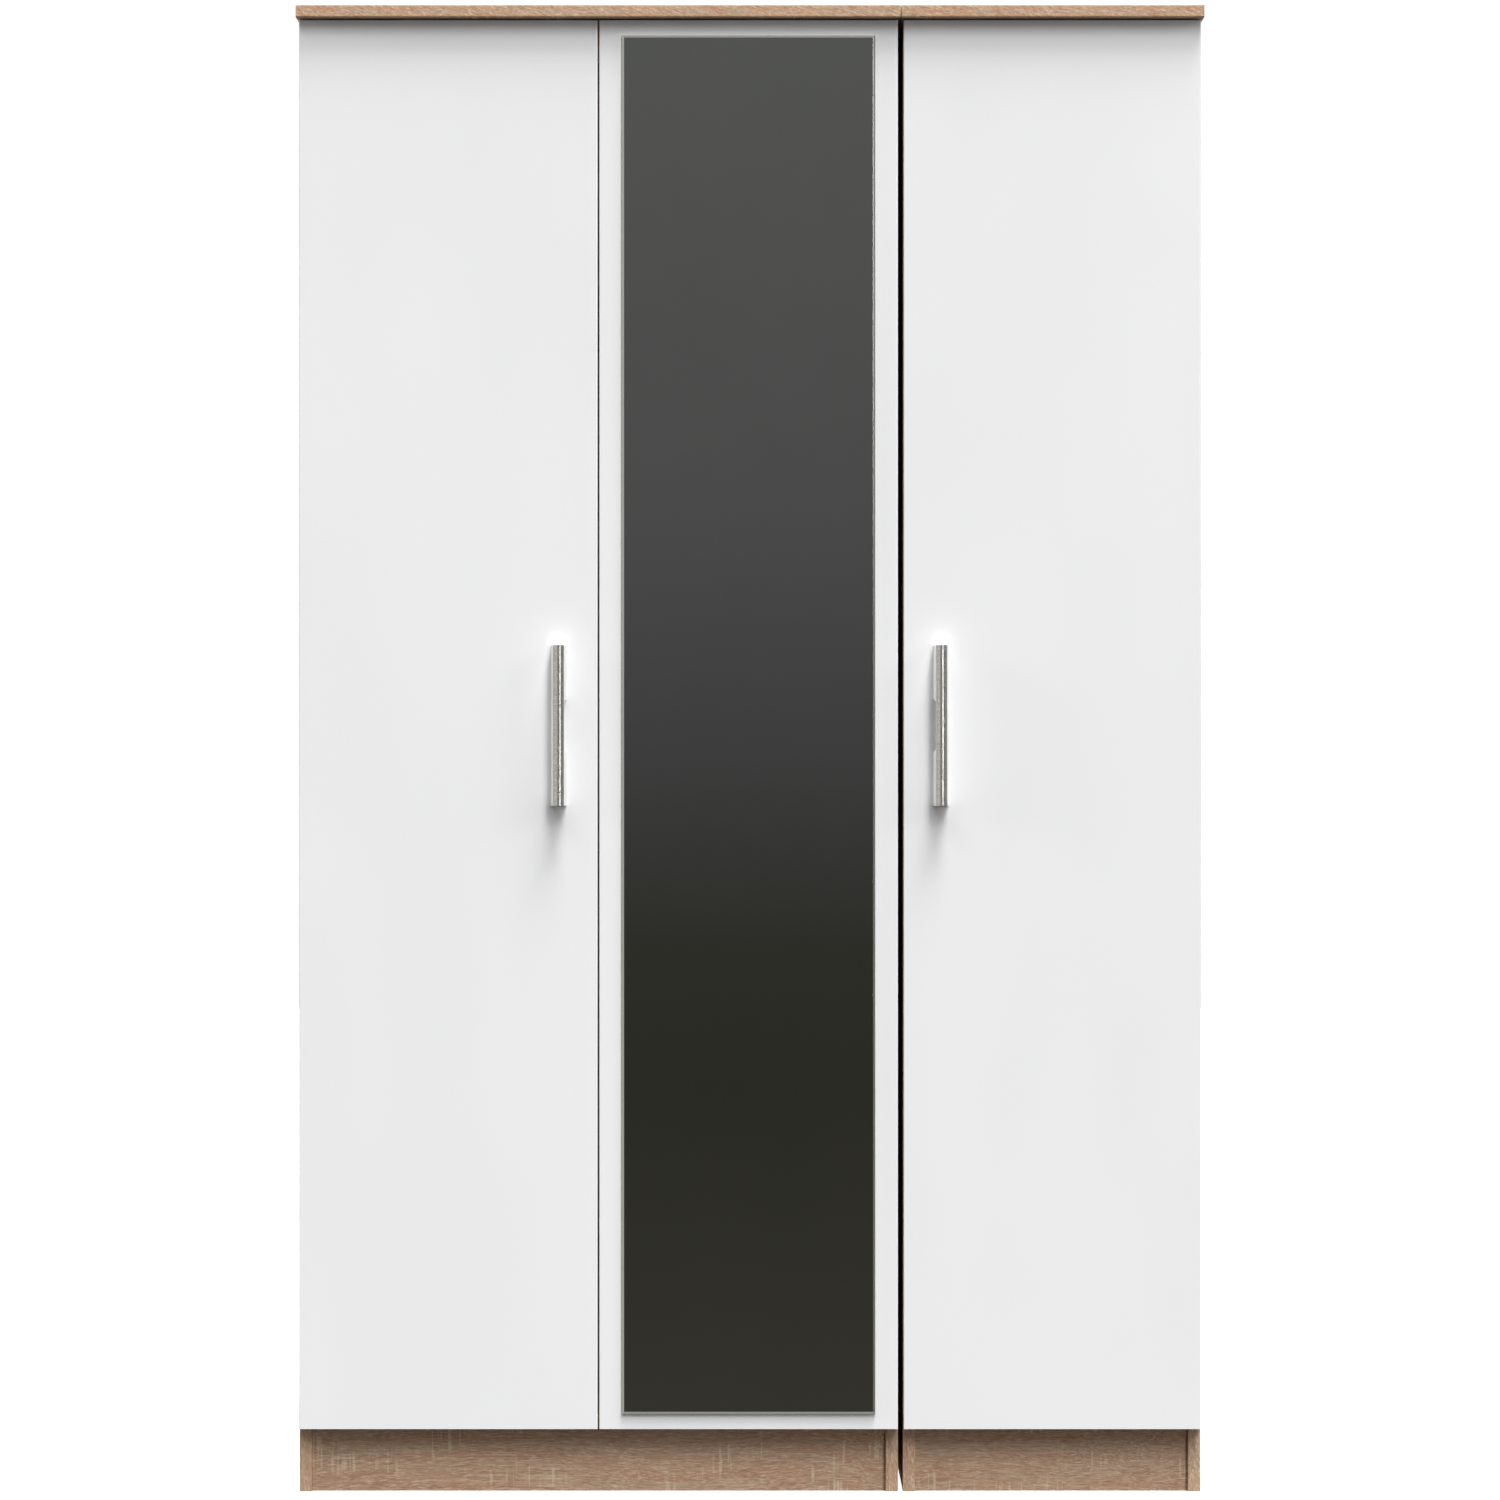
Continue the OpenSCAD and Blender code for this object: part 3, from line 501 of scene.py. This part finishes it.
# only the flat middle of the glass is larger than this, in square metres
PANE_MIN_AREA = 0.1


def door(node):
    """Leaf with rounded upright edges and nearly sharp level ones."""
    bm = cad_mesh(node)
    edges = outer_box_edges(bm)
    half_height = (cad_high.z - cad_low.z) / 2
    upright = [e for e in edges if abs(e.verts[0].co.z - e.verts[1].co.z) > half_height]
    bevel_edges(bm, upright, DOOR_UPRIGHT_R, 3)
    bevel_edges(bm, sharp_edges(bm, 80.0), DOOR_LEVEL_R, 2)
    return stand_for(piece_from(bm, node + "_leaf", [WHITE]), node)


for node in ("left_door", "mirror_door", "right_door"):
    door(node)


def mirror_pane():
    """Glass with a polished bevel and slightly eased edges; its flat middle is silvered."""
    bm = cad_mesh("mirror_glass")
    bevel_edges(bm, sharp_edges(bm, 20.0), GLASS_EDGE_R, 2)
    for face in bm.faces:
        straight_on = face.normal.y < -0.999
        face.material_index = 0 if straight_on and face.calc_area() > PANE_MIN_AREA else 1
    return stand_for(piece_from(bm, "mirror_pane", [SILVER, BEVEL], 12.0), "mirror_glass")


mirror_pane()

# ------------------------------------------------------------------ handles and fittings

HANDLE_EDGE_R = 0.5 * MM
# height between the level cuts, and depth of the domed front
HANDLE_STEP = 10 * MM
HANDLE_DOME = 5 * MM


def eased(node, material, width):
    """A CAD node with its sharp edges eased, in one material."""
    bm = cad_mesh(node)
    bevel_edges(bm, sharp_edges(bm, 35.0), width, 2)
    return stand_for(piece_from(bm, node + "_part", [material]), node)


def handle(node):
    """Hollow grip: brushed curved front and lower end; the flanks and upper end take a near-white,
    mostly diffuse copy of the metal, a painted sheen.
    """
    bm = cad_mesh(node)
    bevel_edges(bm, sharp_edges(bm, 30.0), HANDLE_EDGE_R, 3)
    cut_across(bm, HANDLE_STEP)
    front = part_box(node)[0].y
    for face in bm.faces:
        on_dome = face.calc_center_median().y < front + HANDLE_DOME and face.normal.y < -0.5
        if face.normal.z > 0.9:
            face.material_index = END
        elif face.normal.z < -0.9 or on_dome:
            face.material_index = FRONT
        else:
            face.material_index = FLANK
    stand_for(piece_from(bm, node + "_grip", HANDLE, 30.0), node)


for node in ("left_handle", "right_handle"):
    handle(node)
for node in ("double_hanging_rail", "single_hanging_rail"):
    eased(node, CHROME, 0.3 * MM)
eased("rail_sockets", CHROME, 0.4 * MM)
eased("back_joint_strip", BROWN_PLASTIC, 0.3 * MM)
eased("unit_link_spacers", DARK_PLASTIC, 0.5 * MM)

CARRIED = {
    CLEAR: ("left_buffers", "mirror_buffers", "right_buffers"),
    FOAM: ("mirror_tape",),
    ZINC: ("rail_socket_screws", "hinge_plate_screws", "cam_locks", "cam_bolts", "unit_link_bolts",
           "left_cup_screws", "mirror_cup_screws", "right_cup_screws",
           "left_handle_screws", "right_handle_screws"),
    NICKEL: ("hinge_plates", "hinge_arms", "left_hinge_cups", "mirror_hinge_cups",
             "right_hinge_cups", "left_hinge_links", "mirror_hinge_links", "right_hinge_links"),
    PIN_STEEL: ("hinge_arm_pins", "left_cup_pins", "mirror_cup_pins", "right_cup_pins"),
}
for material, nodes in CARRIED.items():
    for node in nodes:
        for slot in NODES[node].material_slots:
            slot.material = material

# ------------------------------------------------------------------ stage, light, camera

DOOR_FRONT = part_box("left_door")[0].y
TOP_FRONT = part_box("double_top")[0].y
MID_HEIGHT = (cad_low.z + cad_high.z) / 2
FLOOR_R = 14.0
LIGHT_DISTANCE = 600.0
CAMERA_DISTANCE = 7.5
SENSOR_MM = 36.0
LENS_MM = 147.4


def plain_floor():
    g = material_graph("floor_pale")
    grain = g.noise(g.scaled(g.object_coords(), (3.0, 3.0, 3.0)), detail=2.0)
    tint = g.mix(grain, rgba(246, 246, 246), rgba(250, 250, 250))
    material = g.finish(Base_Color=tint, Roughness=0.9, Specular_IOR_Level=0.1,
                        Emission_Color=(1.0, 1.0, 1.0, 1.0), Emission_Strength=0.96)
    bpy.ops.mesh.primitive_circle_add(vertices=96, radius=FLOOR_R, fill_type="NGON")
    floor = bpy.context.object
    floor.name = "floor"
    floor.data.materials.append(material)
    floor.visible_glossy = False
    floor.visible_diffuse = False
    floor.visible_shadow = False


def studio_world():
    """White to the camera; a dim studio with a dark far end to everything else."""
    world = bpy.data.worlds.new("studio")
    bpy.context.scene.world = world
    world.cycles.sampling_method = "NONE"
    g = Graph(world)
    direction = g.node("TexCoord").outputs["Generated"]
    right, back, up = g.node("SeparateXYZ", {0: direction}).outputs

    # height: 0 is straight down, 0.5 the horizon, 1 straight up
    height = g.math("MULTIPLY_ADD", up, 0.5, 0.5)
    surround = g.ramp(height, [
        (0.0, (0.45, 0.45, 0.45)), (0.38, (0.45, 0.45, 0.43)), (0.43, (0.045, 0.042, 0.034)),
        (0.472, (0.027, 0.026, 0.020)), (0.484, (0.029, 0.029, 0.023)), (0.50, (0.052, 0.051, 0.051)),
        (0.52, (0.076, 0.075, 0.074)), (0.563, (0.10, 0.10, 0.096)), (0.62, (0.38, 0.38, 0.36)),
        (1.0, (0.45, 0.45, 0.45))])
    left_wall = g.ramp(g.math("MULTIPLY", right, -1.0), [
        (0.10, (0.0, 0.0, 0.0)), (0.24, (0.50, 0.48, 0.45)), (1.0, (0.42, 0.42, 0.42))])
    right_wall = g.ramp(right, [
        (0.5, (0.0, 0.0, 0.0)), (0.8, (0.06, 0.06, 0.06)), (1.0, (0.25, 0.25, 0.25))])
    front_half = g.mix(1.0, g.mix(1.0, surround, left_wall, "ADD"), right_wall, "ADD")

    # behind the wardrobe the studio is bright, so that its back is lit
    behind = g.math("MULTIPLY_ADD", back, 0.9, 0.0, clamp=True)
    dim, bright, white = ((level, level, level, 1.0) for level in (0.02, 0.7, 1.05))
    reflected = g.mix(behind, front_half, bright)
    ambient = g.mix(behind, dim, bright)
    ray = g.node("LightPath").outputs
    studio = g.mix(ray["Is Glossy Ray"], ambient, reflected)
    colour = g.mix(ray["Is Camera Ray"], studio, white)
    background = g.node("Background", {"Color": colour})
    g.node("OutputWorld", {"Surface": background.outputs[0]})


def softbox(name, azimuth, elevation, width, height, brightness, glossy=True):
    """Far oval softbox. Azimuth 0 is in front and 90 to the right; sizes are in degrees.

    The brightness is the light that falls on a surface facing the softbox.
    """
    target = Vector((0.0, DOOR_FRONT, MID_HEIGHT))
    a, e = math.radians(azimuth), math.radians(elevation)
    outward = Vector((math.sin(a) * math.cos(e), -math.cos(a) * math.cos(e), math.sin(e)))
    light = bpy.data.lights.new(name, "AREA")
    light.shape = "ELLIPSE"
    light.size = 2 * LIGHT_DISTANCE * math.tan(math.radians(width / 2))
    light.size_y = 2 * LIGHT_DISTANCE * math.tan(math.radians(height / 2))
    light.energy = brightness * math.pi * LIGHT_DISTANCE ** 2
    made = bpy.data.objects.new(name, light)
    made.location = target + outward * LIGHT_DISTANCE
    made.rotation_euler = outward.to_track_quat("Z", "Y").to_euler()
    made.visible_camera = False
    made.visible_glossy = glossy
    bpy.context.scene.collection.objects.link(made)
    return made


def light_tops(light, state):
    """State EXCLUDE keeps a light off the two top boards, and INCLUDE lights nothing else with it."""
    group = bpy.data.collections.new(light.name + "_tops")
    for unit in ("double", "single"):
        group.objects.link(bpy.data.objects[unit + "_top_board"])
    for member in group.collection_objects:
        member.light_linking.link_state = state
    light.light_linking.receiver_collection = group


def camera():
    """Long lens, square on, at half the wardrobe's height."""
    data = bpy.data.cameras.new("camera")
    data.sensor_width = SENSOR_MM
    data.lens = LENS_MM
    data.clip_end = 100.0
    made = bpy.data.objects.new("camera", data)
    made.location = (0.0, TOP_FRONT - CAMERA_DISTANCE, MID_HEIGHT)
    made.rotation_euler = (math.radians(90.0), 0.0, 0.0)
    bpy.context.scene.collection.objects.link(made)
    bpy.context.scene.camera = made


plain_floor()
studio_world()
camera()
# azimuth, elevation, width, height, brightness; the tops get a lower light in place of the high one
softbox("key", 20.0, 46.0, 13.0, 40.0, 1.84, glossy=False)
high_right = softbox("high_right", 34.0, 74.0, 22.0, 18.0, 4.10, glossy=False)
tops_right = softbox("tops_right", 34.0, 40.0, 22.0, 18.0, 1.48, glossy=False)
softbox("far_right", 68.0, 26.0, 18.0, 24.0, 0.67, glossy=False)
softbox("low_right", 13.5, 6.0, 13.5, 8.5, 0.28)
softbox("side_right", 42.0, 6.0, 14.0, 12.0, 0.035)
softbox("mid_right", 18.0, 20.0, 14.0, 14.0, 0.15, glossy=False)
softbox("left", -36.0, 55.0, 30.0, 20.0, 0.74, glossy=False)
softbox("far_left", -84.0, 16.0, 20.0, 24.0, 1.10, glossy=False)
light_tops(high_right, "EXCLUDE")
light_tops(tops_right, "INCLUDE")
bpy.context.scene.view_settings.view_transform = "Standard"
bpy.context.scene.cycles.blur_glossy = 0.0
